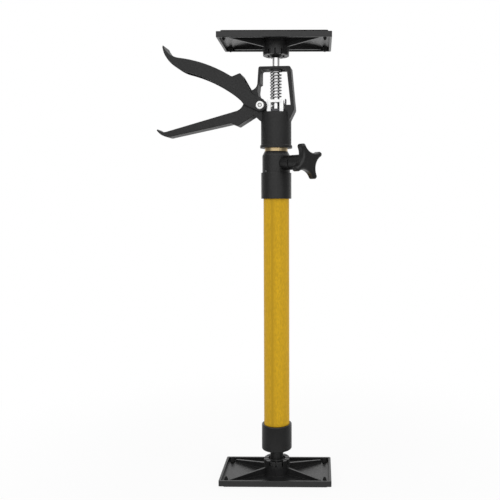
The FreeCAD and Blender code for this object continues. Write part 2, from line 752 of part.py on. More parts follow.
lever_pin = turned("lever_pin", [
    ("0", "-lever_width / 2 - rivet_rise + rivet_dimple"),
    ("rivet_head / 4", "-lever_width / 2 - rivet_rise + rivet_dimple"),
    ("rivet_head / 4", "-lever_width / 2 - rivet_rise"),
    ("rivet_head / 2 - rivet_dimple", "-lever_width / 2 - rivet_rise"),
    ("rivet_head / 2", "-lever_width / 2 - rivet_rise + rivet_dimple"),
    ("rivet_head / 2", "-lever_width / 2"),
    ("pivot_diameter / 2", "-lever_width / 2"),
    ("pivot_diameter / 2", "lever_width / 2"),
    ("rivet_head / 2", "lever_width / 2"),
    ("rivet_head / 2", "lever_width / 2 + rivet_rise - rivet_dimple"),
    ("rivet_head / 2 - rivet_dimple", "lever_width / 2 + rivet_rise"),
    ("0", "lever_width / 2 + rivet_rise"),
])
on_head(lever_pin, "-pivot_across", "pivot_height", ALONG_Y)

# The cam turns with the lever between the lugs, and its nose lifts the yoke.
lift_cam = new_body("lift_cam")
cam_radius = SIZES["cam_hub"] / 2
nose_radius = SIZES["cam_nose"] / 2
nose_x = SIZES["cam_reach"]
neck_x = math.sqrt(cam_radius ** 2 - nose_radius ** 2)
cam_outline = sketch_on(lift_cam, "XZ_Plane")
trace(cam_outline, (neck_x, nose_radius), [
    (nose_x, nose_radius),
    (nose_x + nose_radius, 0.0, nose_x, -nose_radius),
    (neck_x, -nose_radius),
    (-cam_radius, 0.0, neck_x, nose_radius),
])
pad(lift_cam, cam_outline, "cam_width", symmetric=True)
drill(lift_cam, "pivot_diameter / 2 + running_fit", "2 * cam_width", ("0", "-cam_width", "0"), ALONG_Y)
on_head(lift_cam, "-pivot_across", "pivot_height", FreeCAD.Rotation(Y_AXIS, -CAM_ANGLE))

# The yoke is a bent bracket round the rod; the cam and the lock plate pass between its legs.
lift_yoke = new_body("lift_yoke")
bracket = sketch_on(lift_yoke, "XZ_Plane")
polygon(bracket, [
    ("-yoke_length / 2", "0"),
    ("yoke_leg - yoke_length / 2", "0"),
    ("yoke_leg - yoke_length / 2", "yoke_height - yoke_plate"),
    ("yoke_length / 2 - yoke_leg", "yoke_height - yoke_plate"),
    ("yoke_length / 2 - yoke_leg", "0"),
    ("yoke_length / 2", "0"),
    ("yoke_length / 2", "yoke_height"),
    ("-yoke_length / 2", "yoke_height"),
])
pad(lift_yoke, bracket, "yoke_depth", symmetric=True)
bends = [(side * SIZES["yoke_length"] / 2, SIZES["yoke_height"]) for side in (-1, 1)]
round_edges(lift_yoke, "Fillet", "yoke_plate * 0.4", standing_at(bends))
leg_slot = sketch_on(lift_yoke, "XZ_Plane")
polygon(leg_slot, [
    ("-yoke_length", "0"),
    ("yoke_length", "0"),
    ("yoke_length", "yoke_height - yoke_plate"),
    ("-yoke_length", "yoke_height - yoke_plate"),
])
pocket(lift_yoke, leg_slot, "yoke_depth - 2 * yoke_wall", symmetric=True)
drill(lift_yoke, "rod_diameter / 2 + free_gap", "2 * yoke_height", ("0", "0", "0"))
on_head(lift_yoke, "0", "yoke_bottom")


def coil(label, mean_radius, wire, bottom, height, turns, across):
    """A round wire swept along a helix."""
    helix = doc.addObject("Part::Helix", label + "_path")
    bind(helix, "Radius", mean_radius)
    bind(helix, "Pitch", f"({height} - {wire}) / {turns}")
    bind(helix, "Height", f"{height} - {wire}")
    helix.SegmentLength = 1
    ring = doc.addObject("Part::Circle", label + "_wire")
    bind(ring, "Radius", f"{wire} / 2")
    ring.Placement = FreeCAD.Placement(FreeCAD.Vector(), FreeCAD.Rotation(X_AXIS, 90))
    bind(ring, "Placement.Base.x", mean_radius)
    spring = doc.addObject("Part::Sweep", label)
    spring.Label = label
    spring.Sections = [ring]
    spring.Spine = helix
    spring.Solid = True
    spring.Frenet = True
    on_head(spring, across, f"{bottom} + {wire} / 2")
    nodes.append(spring)


yoke_top = "(yoke_bottom + yoke_height)"
coil("return_spring", "(spring_diameter - spring_wire) / 2", "spring_wire", f"{yoke_top} + running_fit",
     f"(bar_bottom - bush_flange - {yoke_top} - 2 * running_fit)", "spring_turns", "0")

# The lock plate tilts on its left end and has an upright release tab at the right.
lock_plate = new_body("lock_plate")
bent = sketch_on(lock_plate, "XZ_Plane")
polygon(bent, [
    ("-yoke_length / 2", "0"),
    ("tab_across + tab_thickness", "0"),
    ("tab_across + tab_thickness", "tab_rise"),
    ("tab_across", "tab_rise"),
    ("tab_across", "plate_thickness"),
    ("-yoke_length / 2", "plate_thickness"),
])
pad(lock_plate, bent, "plate_depth", symmetric=True)
sides = sketch_on(lock_plate, "XY_Plane")
bind(sides, "AttachmentOffset.Base.z", "tab_rise")
for side in (-1, 1):
    polygon(sides, [
        ("yoke_length / 2 - free_gap", f"{side} * tab_depth / 2"),
        ("2 * tab_across", f"{side} * tab_depth / 2"),
        ("2 * tab_across", f"{side} * plate_depth"),
        ("yoke_length / 2 - free_gap", f"{side} * plate_depth"),
    ])
pocket(lock_plate, sides, "tab_rise")
plate_start = ("0", "0", "-plate_thickness")
drill(lock_plate, "rod_diameter / 2 + 1.5 * free_gap", "4 * plate_thickness", plate_start)
on_head(lock_plate, "0", "plate_bottom")
coil("lock_spring", "(lock_diameter - lock_wire) / 2", "lock_wire", "web_bottom + lock_wire + running_fit",
     "(plate_bottom - web_bottom - lock_wire - 2 * running_fit)", "lock_turns", "lock_across")

# The rod slides and spins in the head; a ring in a groove at its lower end keeps it from pulling out.
groove = "(rod_diameter / 2 - 2 * free_gap)"
lift_rod = turned("lift_rod", [
    ("0", "rod_bottom"),
    ("rod_diameter / 2", "rod_bottom"),
    ("rod_diameter / 2", "rod_bottom + stop_height"),
    (groove, "rod_bottom + stop_height"),
    (groove, "rod_bottom + 2 * stop_height"),
    ("rod_diameter / 2", "rod_bottom + 2 * stop_height"),
    ("rod_diameter / 2", "prop_height - sole_thickness - ball_height + rod_diameter / 2"),
    ("0", "prop_height - sole_thickness - ball_height + rod_diameter / 2"),
])
rod_stop = turned("rod_stop", [
    (groove + " + running_fit", "rod_bottom + stop_height + running_fit"),
    ("stop_diameter / 2", "rod_bottom + stop_height + running_fit"),
    ("stop_diameter / 2", "rod_bottom + 2 * stop_height - running_fit"),
    (groove + " + running_fit", "rod_bottom + 2 * stop_height - running_fit"),
])
rod_ball = new_body("rod_ball")
ball_centre = "prop_height - sole_thickness - ball_height"
primitive(rod_ball, "AdditiveSphere", {"Radius": "ball_radius"}, ("0", "0", ball_centre))
drill(rod_ball, "rod_diameter / 2 + running_fit", "2 * rod_diameter + running_fit",
      ("0", "0", ball_centre + " - 1.5 * rod_diameter"))

doc.recompute()
broken = [item.Name for item in doc.Objects if "Invalid" in item.State or "Error" in item.State]
if broken:
    raise RuntimeError("these objects did not build: " + ", ".join(broken))
os.makedirs("parts", exist_ok=True)
for node in nodes:
    if node.Shape.isNull() or not node.Shape.isValid() or len(node.Shape.Solids) != 1:
        raise RuntimeError("this piece is not one sound solid: " + node.Label)
    node.Shape.exportStep(f"parts/{node.Label}.step")
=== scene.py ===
"""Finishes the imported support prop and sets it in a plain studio."""
import json
import math

import bmesh
import bpy
from mathutils import Matrix, Vector


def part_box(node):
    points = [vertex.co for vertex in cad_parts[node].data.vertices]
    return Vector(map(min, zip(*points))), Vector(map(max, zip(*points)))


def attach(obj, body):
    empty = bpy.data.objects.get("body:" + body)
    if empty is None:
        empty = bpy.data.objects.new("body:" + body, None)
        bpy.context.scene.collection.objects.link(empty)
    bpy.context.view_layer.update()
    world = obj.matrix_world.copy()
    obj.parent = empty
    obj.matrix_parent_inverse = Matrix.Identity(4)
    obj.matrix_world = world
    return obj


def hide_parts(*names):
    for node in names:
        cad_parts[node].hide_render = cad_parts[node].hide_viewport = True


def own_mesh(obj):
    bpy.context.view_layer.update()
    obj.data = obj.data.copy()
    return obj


bl_info = {
    "name": "Support prop",
    "version": (1, 0, 0),
    "blender": (4, 5, 0),
    "location": "View3D > Sidebar > Support prop",
    "description": "Finishes the pieces of a telescopic support prop and sets up its studio",
    "category": "Object",
}

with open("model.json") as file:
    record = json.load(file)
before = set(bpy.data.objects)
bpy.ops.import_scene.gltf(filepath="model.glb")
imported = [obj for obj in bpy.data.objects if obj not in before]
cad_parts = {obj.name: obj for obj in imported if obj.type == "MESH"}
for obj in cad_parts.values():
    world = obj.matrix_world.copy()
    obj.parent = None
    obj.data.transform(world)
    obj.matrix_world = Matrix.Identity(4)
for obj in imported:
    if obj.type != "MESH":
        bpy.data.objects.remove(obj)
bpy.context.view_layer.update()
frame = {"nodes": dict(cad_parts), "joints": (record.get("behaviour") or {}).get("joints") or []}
NODES = frame["nodes"]
FINISHES = {}
MM = 0.001

# How close points count as one or as on a hub's end, and which edges are shaded sharp.
JOIN_DISTANCE = 0.001 * MM
END_DISTANCE = 0.1 * MM
SHARP_ANGLE = 0.6

# A rib's radius and the depth of its crest under the grip sheet's face, as shares of its rise.
RIB_ROUND = 1.4
RIB_SINK = 0.05

# How finely the round details are made.
RIB_SIDES = 12
THREAD_POINTS = 24
THREAD_SIDES = 4

# A Mix node's sockets for colours, which share their names with those for numbers.
MIX_FIRST = 6
MIX_SECOND = 7
MIX_RESULT = 2

# Rays that look for rounded edges and for sheltered places.
EDGE_SAMPLES = 6
SHELTER_SAMPLES = 10

# Bounds of two masks: worn edges by 1 less the cosine of the normal's turn, painted shade on inner sides by a
# cosine.
EDGE_TURN = (0.02, 0.22)
INNER_TURN = (0.35, -0.25)

# The photograph's frame, its optical centre in pixels, and the camera that took it.
IMAGE_SIDE = 500.0
PHOTO_CENTRE = (311.7, 229.5)
SENSOR_WIDTH = 36.0
CAMERA_PLACE = (0.0476, -0.7063, 0.3028)
CAMERA_FORWARD = (-0.01256, 0.99911, -0.0403)
CAMERA_RIGHT = (0.99992, 0.01257, 0.0)

# The lamps, and where the parts of the studio begin and end in reflections.
WHITE = (1, 1, 1, 1)
LAMP_TARGET = (0.0, 0.0, 0.3)
KEY_PLACE = (-1.3, -1.1, 1.0)
KEY_SIDE = 1.2
FILL_PLACE = (1.4, -0.9, 0.8)
FILL_SIDE = 1.0
FRONT_SCREEN = (-0.92, -0.35)
CEILING = (0.4, 0.85)
BACKDROP = (0.45, 0.8)
FLOOR_RADIUS = 4.0
FLOOR_SIDES = 96
FLOOR_FADE = (0.12, 0.5)
FLOOR_BEHIND = (-0.1, 0.4)
FLOOR_AT_FOOT = (0.12, 0.07)

# The share of white that the camera sees on the floor by the foot.
FLOOR_WHITE = 0.92

# How bright the floor in front shows in reflections, and the share of white added by the foot.
FLOOR_MIRRORED = 0.3
FOOT_MIRRORED = 0.65


# Settings that a user would change.
class FinishSettings(bpy.types.PropertyGroup):
    """Colours and grain of the prop's finishes"""
    moulding: bpy.props.FloatVectorProperty(
        name="Moulding", description="Colour of the moulded collar, sleeve and knob",
        subtype="COLOR", size=3, min=0, max=1, default=(0.0068, 0.0068, 0.007))
    casting: bpy.props.FloatVectorProperty(
        name="Casting", description="Colour of the pump head and its lever",
        subtype="COLOR", size=3, min=0, max=1, default=(0.0082, 0.0082, 0.0085))
    pads: bpy.props.FloatVectorProperty(
        name="Pads", description="Colour of the moulded foot and top pad",
        subtype="COLOR", size=3, min=0, max=1, default=(0.011, 0.011, 0.0114))
    rubber: bpy.props.FloatVectorProperty(
        name="Rubber", description="Colour of the grip sheets",
        subtype="COLOR", size=3, min=0, max=1, default=(0.009, 0.009, 0.009))
    paint: bpy.props.FloatVectorProperty(
        name="Paint", description="Colour of the outer tube's powder coat",
        subtype="COLOR", size=3, min=0, max=1, default=(0.66, 0.382, 0.0067))
    plate: bpy.props.FloatVectorProperty(
        name="Plate", description="Colour of the inner tube's yellow plating",
        subtype="COLOR", size=3, min=0, max=1, default=(0.55, 0.44, 0.265))
    steel: bpy.props.FloatVectorProperty(
        name="Steel", description="Colour of the zinc-plated steel",
        subtype="COLOR", size=3, min=0, max=1, default=(0.9, 0.9, 0.89))
    grain: bpy.props.FloatProperty(
        name="Grain", description="Size of the moulded grain on the black pieces",
        unit="LENGTH", min=0.0001, max=0.002, default=0.0006)


class DetailSettings(bpy.types.PropertyGroup):
    """Sizes of the grip ribs, the hubs' slots and the clamp's thread, and the place of the tube's seam"""
    rib_count: bpy.props.IntProperty(
        name="Grip ribs", description="Number of ribs on each grip sheet", min=3, max=60, default=21)
    rib_rise: bpy.props.FloatProperty(
        name="Rib rise", description="How far the ribs stand out of the grip sheet's sunk field",
        unit="LENGTH", min=0.0001, max=0.001, default=0.0006)
    rib_margin: bpy.props.FloatProperty(
        name="Rib margin", description="Plain border of the grip sheet round the ribs",
        unit="LENGTH", min=0.0005, max=0.01, default=0.0035)
    slot_count: bpy.props.IntProperty(
        name="Hub slots", description="Number of slots in the open end of each pad's hub",
        min=3, max=24, default=12)
    slot_width: bpy.props.FloatProperty(
        name="Slot width", description="Width of the hub's slots",
        unit="LENGTH", min=0.0005, max=0.004, default=0.0014)
    slot_depth: bpy.props.FloatProperty(
        name="Slot depth", description="How far the slots reach into the hub from its open end",
        unit="LENGTH", min=0.001, max=0.008, default=0.0055)
    thread_pitch: bpy.props.FloatProperty(
        name="Thread pitch", description="Advance of the clamp screw's thread in one turn",
        unit="LENGTH", min=0.0005, max=0.003, default=0.00125)
    thread_depth: bpy.props.FloatProperty(
        name="Thread depth", description="Height of the clamp screw's thread",
        unit="LENGTH", min=0.0002, max=0.001, default=0.0006)
    seam: bpy.props.FloatProperty(
        name="Seam", description="Where the outer tube's weld seam runs, as an angle round it from the front",
        subtype="ANGLE", min=-3.1, max=3.1, default=-0.4)


class StudioSettings(bpy.types.PropertyGroup):
    """The camera and the lamps"""
    lens: bpy.props.FloatProperty(
        name="Lens", description="Focal length of the camera",
        unit="CAMERA", min=20, max=120, default=46.43)
    key_power: bpy.props.FloatProperty(
        name="Key lamp", description="Power of the large lamp at the front left",
        unit="POWER", min=0, max=100, default=11)
    fill_power: bpy.props.FloatProperty(
        name="Fill lamp", description="Power of the large lamp at the front right",
        unit="POWER", min=0, max=100, default=9.5)
    sky: bpy.props.FloatProperty(
        name="Sky", description="Strength of the even light from all sides",
        min=0, max=2, default=0.55)
    front: bpy.props.FloatProperty(
        name="Front", description="How bright the front screen and the ceiling show in reflections",
        min=0, max=2, default=1.25)
    sides: bpy.props.FloatProperty(
        name="Sides", description="How bright the room at both sides shows in reflections",
        min=0, max=2, default=0.26)
    floor: bpy.props.FloatVectorProperty(
        name="Floor", description="Colour of the floor",
        subtype="COLOR", size=3, min=0, max=1, default=(0.86, 0.86, 0.86))


# Shader maths.
def add_node(tree, kind, settings=None, sockets=None):
    """Adds a node with its settings, then the values or links of its sockets."""
    made = tree.nodes.new(kind)
    for name, value in (settings or {}).items():
        setattr(made, name, value)
    for name, value in (sockets or {}).items():
        if isinstance(value, Wire):
            value = value.socket
        if isinstance(value, bpy.types.NodeSocket):
            tree.links.new(value, made.inputs[name])
        else:
            made.inputs[name].default_value = value
    return made


class Wire:
    """A socket of a shader tree; arithmetic on it adds Math nodes."""

    def __init__(self, tree, socket=None):
        self.tree = tree
        self.socket = socket

    def node(self, kind, settings=None, sockets=None, output=0):
        """Adds a node and returns one of its outputs."""
        made = add_node(self.tree, kind, settings, sockets)
        return Wire(self.tree, made.outputs[output] if made.outputs else None)

    def maths(self, operation, first, second):
        """Adds a Math node on two values."""
        return self.node("ShaderNodeMath", {"operation": operation}, {0: first, 1: second})

    def __add__(self, other):
        return self.maths("ADD", self, other)

    def __radd__(self, other):
        return self.maths("ADD", other, self)

    def __sub__(self, other):
        return self.maths("SUBTRACT", self, other)

    def __rsub__(self, other):
        return self.maths("SUBTRACT", other, self)

    def __mul__(self, other):
        return self.maths("MULTIPLY", self, other)

    def __rmul__(self, other):
        return self.maths("MULTIPLY", other, self)

    def between(self, low, high):
        """0 below low, 1 above high and smooth between them."""
        return self.node("ShaderNodeMapRange", {"interpolation_type": "SMOOTHSTEP"},
                         {"Value": self, "From Min": low, "From Max": high})

    def output(self, name):
        """Another output of the node that this wire leaves."""
        return Wire(self.tree, self.socket.node.outputs[name])


def new_material(name):
    """An empty material and a wire to start its nodes from."""
    material = bpy.data.materials.new(name)
    material.use_nodes = True
    material.node_tree.nodes.clear()
    return material, Wire(material.node_tree)


def finish_material(start, shader):
    """Ends a material's nodes in its output."""
    start.node("ShaderNodeOutputMaterial", None, {"Surface": shader})


def shade_of(base, share=1.0, lift=0.0):
    """A colour times a share plus a lift, no brighter than white, as a socket takes it."""
    red, green, blue = (min(1.0, lift + share * value) for value in base)
    return (red, green, blue, 1.0)


def object_place(start, stretch=(1.0, 1.0, 1.0)):
    """The piece's own coordinates, stretched for a pattern."""
    place = start.node("ShaderNodeTexCoord", output="Object")
    return start.node("ShaderNodeMapping", None, {"Vector": place, "Scale": stretch})


def noise(start, place, size, detail=2.0, rough=0.5):
    """Cloudy noise from 0 to 1 whose blotches are about a size in metres."""
    return start.node("ShaderNodeTexNoise", None,
                      {"Vector": place, "Scale": 1.0 / size, "Detail": detail, "Roughness": rough})


def mix_colour(start, share, first, second):
    """Blends two colours; the share is a wire."""
    return start.node("ShaderNodeMix", {"data_type": "RGBA"},
                      {"Factor": share, MIX_FIRST: first, MIX_SECOND: second}, output=MIX_RESULT)


def agreement(start, first, second):
    """1 where two directions are the same, 0 where they are square to each other."""
    return start.node("ShaderNodeVectorMath", {"operation": "DOT_PRODUCT"},
                      {0: first, 1: second}, output="Value")


def worn_edge(start, radius):
    """A rounded normal for the piece's edges, and a mask that is 1 on them."""
    rounded = start.node("ShaderNodeBevel", {"samples": EDGE_SAMPLES}, {"Radius": radius})
    flat = start.node("ShaderNodeNewGeometry", output="True Normal")
    return rounded, (1.0 - agreement(start, rounded, flat)).between(*EDGE_TURN)


def inner_side(start):
    """1 where a surface faces the prop's long axis."""
    across = object_place(start, (1.0, 1.0, 0.0))
    outward = start.node("ShaderNodeVectorMath", {"operation": "NORMALIZE"}, {0: across})
    facing = start.node("ShaderNodeTexCoord", output="Normal")
    return agreement(start, outward, facing).between(*INNER_TURN)


def open_air(start, reach):
    """1 where the piece lies open, less where its own walls stand within a reach."""
    return start.node("ShaderNodeAmbientOcclusion", {"samples": SHELTER_SAMPLES, "only_local": True},
                      {"Distance": reach}, output="AO")


def bump(start, height, depth, normal=None):
    """A Bump node of a depth in metres."""
    sockets = {"Height": height, "Strength": 1.0, "Distance": depth}
    if normal is not None:
        sockets["Normal"] = normal
    return start.node("ShaderNodeBump", None, sockets)


def moulded_black(name, base, grain, gloss, dull):
    """Satin black plastic: fine spark-eroded grain, duller sheltered walls and paler rubbed edges."""
    edge_round = 0.5 * MM
    cloud_size = 22 * MM
    mottle_size = 1.8 * MM
    rub_size = 2.5 * MM
    shelter_reach = 20 * MM
    grain_depth = 0.035 * MM

    material, start = new_material(name)
    place = object_place(start)
    rounded, edge = worn_edge(start, edge_round)
    pits = noise(start, place, grain, 3.0, 0.6)
    cloud = noise(start, place, cloud_size, 3.0, 0.55)
    mottle = noise(start, place, mottle_size, 3.0, 0.65).between(0.32, 0.68)
    scuff = edge * noise(start, place, rub_size, 4.0, 0.7).between(0.45, 0.65)
    sheltered = 1.0 - open_air(start, shelter_reach).between(0.4, 0.95)
    tone = mix_colour(start, cloud.between(0.3, 0.7), shade_of(base, 0.85), shade_of(base, 1.2))
    tone = mix_colour(start, mottle * 0.5, tone, shade_of(base, 0.4))
    tone = mix_colour(start, scuff * 0.55, tone, shade_of(base, 2.2, 0.02))
    shader = start.node("ShaderNodeBsdfPrincipled", None, {
        "Base Color": tone,
        "Roughness": gloss + 0.08 * cloud + 0.05 * pits + 0.07 * mottle - 0.06 * scuff + dull * sheltered,
        "Normal": bump(start, pits + 1.5 * mottle, grain_depth, rounded),
        "IOR": 1.5,
    })
    finish_material(start, shader)
    return material


def grip_rubber(name, base):
    """Dull rubber with a dusty bloom."""
    edge_round = 0.35 * MM
    grain_size = 0.4 * MM
    grain_depth = 0.03 * MM
    dust_size = 14 * MM

    material, start = new_material(name)
    place = object_place(start)
    rounded, edge = worn_edge(start, edge_round)
    fine = noise(start, place, grain_size, 2.0, 0.6)
    dust = noise(start, place, dust_size, 4.0, 0.65).between(0.42, 0.72)
    tone = mix_colour(start, dust * 0.5 + edge * 0.3, shade_of(base), shade_of(base, 1.3, 0.012))
    shader = start.node("ShaderNodeBsdfPrincipled", None, {
        "Base Color": tone,
        "Roughness": 0.72 + 0.15 * dust,
        "Normal": bump(start, fine, grain_depth, rounded),
        "IOR": 1.32,
    })
    finish_material(start, shader)
    return material


def powder_coat(name, base, seam):
    """Powder coat with orange peel, flecks, faint streaks, a few rubbed lines, the tube's weld seam and
    painted shade on one flank of the seam.
    """
    peel_size = 1.1 * MM
    peel_depth = 0.045 * MM
    speck_size = 0.35 * MM
    streak_size = 5 * MM
    line_size = 0.5 * MM
    line_stretch = (1.0, 1.0, 0.02)
    fleck_size = 1.5 * MM
    fleck_stretch = (1.0, 1.0, 0.4)
    seam_ridge = (0.09, 0.0)
    shade_start = (0.0, 0.06)
    shade_end = (0.34, 0.12)

    material, start = new_material(name)
    place = object_place(start)
    along = object_place(start, line_stretch)
    peel = noise(start, place, peel_size, 1.5, 0.5)
    speck = noise(start, place, speck_size, 2.0, 0.6)
    streak = noise(start, along, streak_size, 3.0, 0.55)
    fleck = noise(start, object_place(start, fleck_stretch), fleck_size, 3.0, 0.65).between(0.3, 0.7)
    line = noise(start, along, line_size, 2.0, 0.5).between(0.66, 0.74)
    spot = start.node("ShaderNodeSeparateXYZ", None, {0: place})
    beside = start.maths("ARCTAN2", spot.output("X"), 0.0 - spot.output("Y")) - seam
    ridge = start.maths("ABSOLUTE", beside, 0.0).between(*seam_ridge)
    # Painted shade: a darker band on one flank of the weld seam, as if its ridge were lit from the other
    # side.
    shade = beside.between(*shade_start) * beside.between(*shade_end)
    tone = mix_colour(start, streak.between(0.3, 0.7), shade_of(base, 0.93), shade_of(base, 1.06))
    tone = mix_colour(start, speck.between(0.6, 0.75) * 0.25, tone, shade_of(base, 0.75))
    tone = mix_colour(start, fleck * 0.7, tone, shade_of(base, 0.74))
    tone = mix_colour(start, line * 0.18, tone, shade_of(base, 1.25))
    # Darkens the coat by the painted shade along the seam.
    tone = mix_colour(start, shade * 0.8, tone, shade_of(base, 0.72))
    shader = start.node("ShaderNodeBsdfPrincipled", None, {
        "Base Color": tone,
        "Roughness": 0.5 + 0.1 * streak - 0.08 * line,
        "Normal": bump(start, peel + 0.3 * speck + 4.0 * ridge, peel_depth),
        "IOR": 1.38,
    })
    finish_material(start, shader)
    return material


def drawn_metal(name, base, gloss, tint, spread, reach=1.5 * MM, hollow_shade_bounds=(0.6, 0.98), paint_inner_shade=False):
    """Metal with drawing lines along Z, a cloudy tint, painted shade in its hollows and perhaps painted shade
    on the side that faces the long axis.
    """
    edge_round = 0.25 * MM
    line_size = 0.3 * MM
    line_stretch = (1.0, 1.0, 0.03)
    line_depth = 0.008 * MM

    material, start = new_material(name)
    place = object_place(start)
    along = object_place(start, line_stretch)
    rounded, edge = worn_edge(start, edge_round)
    line = noise(start, along, line_size, 2.0, 0.6)
    cloud = noise(start, place, spread, 3.0, 0.6)
    # Painted shade: darker where the piece's own walls stand within the reach, in hollows and grooves.
    dark = 1.0 - open_air(start, reach).between(*hollow_shade_bounds)
    # Painted shade on the side that faces the prop's long axis, such as a spring's inner side.
    if paint_inner_shade:
        dark = start.maths("MAXIMUM", dark, inner_side(start))
    tone = mix_colour(start, cloud.between(0.35, 0.65) * 0.6, shade_of(base), shade_of(tint))
    tone = mix_colour(start, edge * 0.35, tone, shade_of(base, 1.15))
    # Darkens the tone by the painted shade.
    tone = mix_colour(start, dark, tone, shade_of(base, 0.12))
    shader = start.node("ShaderNodeBsdfPrincipled", None, {
        "Base Color": tone,
        "Metallic": 1.0,
        "Roughness": gloss + 0.12 * line + 0.08 * cloud,
        "Normal": bump(start, line, line_depth, rounded),
    })
    finish_material(start, shader)
    return material


def plain_nylon(name, base):
    """Dark nylon with a faint waxy sheen."""
    edge_round = 0.3 * MM
    cloud_size = 6 * MM
    cloud_depth = 0.02 * MM

    material, start = new_material(name)
    place = object_place(start)
    rounded, edge = worn_edge(start, edge_round)
    cloud = noise(start, place, cloud_size, 3.0, 0.6)
    shader = start.node("ShaderNodeBsdfPrincipled", None, {
        "Base Color": mix_colour(start, cloud, shade_of(base, 0.8), shade_of(base, 1.25)),
        "Roughness": 0.38 + 0.15 * cloud + 0.05 * edge,
        "Normal": bump(start, cloud, cloud_depth, rounded),
        "IOR": 1.53,
    })
    finish_material(start, shader)
    return material


def dress(finish, names):
    """Gives the named CAD nodes one finish."""
    for name in names:
        mesh = NODES[name].data
        mesh.materials.clear()
        mesh.materials.append(FINISHES[finish])


# Geometry Nodes.
class NodeShape:
    """A Geometry Nodes tree in the making, with named inputs and their values."""

    def __init__(self, name):
        self.tree = bpy.data.node_groups.new(name, "GeometryNodeTree")
        self.tree.interface.new_socket("Geometry", in_out="INPUT", socket_type="NodeSocketGeometry")
        self.tree.interface.new_socket("Geometry", in_out="OUTPUT", socket_type="NodeSocketGeometry")
        self.entry = self.tree.nodes.new("NodeGroupInput")
        self.values = {}

    def value(self, name, kind, value):
        """Adds a named input and returns its socket."""
        made = self.tree.interface.new_socket(name, in_out="INPUT", socket_type="NodeSocket" + kind)
        self.values[made.identifier] = value
        return self.entry.outputs[name]

    def node(self, kind, settings=None, sockets=None):
        """Adds a node and returns its first output."""
        made = add_node(self.tree, kind, settings, sockets)
        return made.outputs[0] if made.outputs else None

    def merge(self, operation, first, second):
        """Unites two closed shapes, or cuts the second out of the first."""
        made = add_node(self.tree, "GeometryNodeMeshBoolean", {"operation": operation, "solver": "EXACT"})
        self.tree.links.new(first, made.inputs["Mesh 1" if operation == "DIFFERENCE" else "Mesh 2"])
        self.tree.links.new(second, made.inputs["Mesh 2"])
        return made.outputs["Mesh"]

    def close(self, shape, finish):
        """Realizes the shape, sets its material and ends the tree."""
        material = self.value("Material", "Material", finish)
        real = self.node("GeometryNodeRealizeInstances", None, {"Geometry": shape})
        done = self.node("GeometryNodeSetMaterial", None, {"Geometry": real, "Material": material})
        self.node("NodeGroupOutput", None, {"Geometry": done})

    def grow(self, name, mesh):
        """Runs the tree on a base mesh, which it uses up, and returns a plain mesh object."""
        base = bpy.data.objects.new(name + "_base", mesh)
        bpy.context.scene.collection.objects.link(base)
        modifier = base.modifiers.new(self.tree.name, "NODES")
        modifier.node_group = self.tree
        for identifier, value in self.values.items():
            modifier[identifier] = value
        seen = base.evaluated_get(bpy.context.evaluated_depsgraph_get())
        grown = bpy.data.meshes.new_from_object(seen)
        bpy.data.objects.remove(base)
        bpy.data.meshes.remove(mesh)
        piece = bpy.data.objects.new(name, grown)
        bpy.context.scene.collection.objects.link(piece)
        return piece


def joint_named(name):
    """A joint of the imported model."""
    return [joint for joint in frame["joints"] if joint["name"] == name][0]


def merged_copy(node, place=None):
    """A copy of a CAD node's mesh, its loose triangles joined and its normals noted.

    If a function is given, it moves the points.
    """
    shape = bmesh.new()
    shape.from_mesh(NODES[node].data)
    normals = iter(NODES[node].data.corner_normals)
    layer = shape.loops.layers.float_vector.new("cad_normal")
    for face in shape.faces:
        for corner in face.loops:
            corner[layer] = next(normals).vector
    bmesh.ops.remove_doubles(shape, verts=shape.verts, dist=JOIN_DISTANCE)
    if place:
        for vertex in shape.verts:
            vertex.co = place(vertex.co)
    mesh = bpy.data.meshes.new(node + "_copy")
    shape.to_mesh(mesh)
    shape.free()
    return mesh


def keep_normals(piece):
    """Shades a piece by the normals of the CAD node it was cut from; new faces keep their own."""
    carried = piece.data.attributes["cad_normal"]
    piece.data.normals_split_custom_set([corner.vector for corner in carried.data])
    piece.data.attributes.remove(piece.data.attributes["cad_normal"])


def stand_for(piece, node, body):
    """The new piece, shaded smooth up to its sharp edges, takes the CAD node's place on its body."""
    piece.data.shade_smooth()
    piece.data.set_sharp_from_angle(angle=SHARP_ANGLE)
    keep_normals(piece)
    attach(piece, body)
    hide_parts(node)


def slotted_pad(name, node, body, upward, detail):
    """The pad with slots between the fingers of its hub, which snaps over a ball."""
    low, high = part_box(node)
    end = high.z if upward else low.z
    middle = (low + high) / 2
    hub = [vertex.co for vertex in NODES[node].data.vertices if abs(vertex.co.z - end) < END_DISTANCE]
    reach = [(point.xy - middle.xy).length for point in hub]
    wall = max(reach) - min(reach)

    slots = NodeShape("hub_slots")
    count = slots.value("Count", "Int", detail.slot_count)
    radius = slots.value("Radius", "Float", (max(reach) + min(reach)) / 2)
    size = slots.value("Slot", "Vector", (2 * wall, detail.slot_width, 2 * detail.slot_depth))
    place = slots.value("Hub end", "Vector", (middle.x, middle.y, end))
    ring = slots.node("GeometryNodeMeshCircle", None, {"Vertices": count, "Radius": radius})
    spot = slots.node("GeometryNodeInputPosition")
    heading = slots.node("FunctionNodeAlignRotationToVector", {"axis": "X"}, {"Vector": spot})
    block = slots.node("GeometryNodeMeshCube", None, {"Size": size})
    row = slots.node("GeometryNodeInstanceOnPoints", None,
                     {"Points": ring, "Instance": block, "Rotation": heading})
    row = slots.node("GeometryNodeRealizeInstances", None, {"Geometry": row})
    row = slots.node("GeometryNodeTransform", None, {"Geometry": row, "Translation": place})
    slots.close(slots.merge("DIFFERENCE", slots.entry.outputs["Geometry"], row), FINISHES["pads"])
    piece = slots.grow(name, merged_copy(node))
    stand_for(piece, node, body)


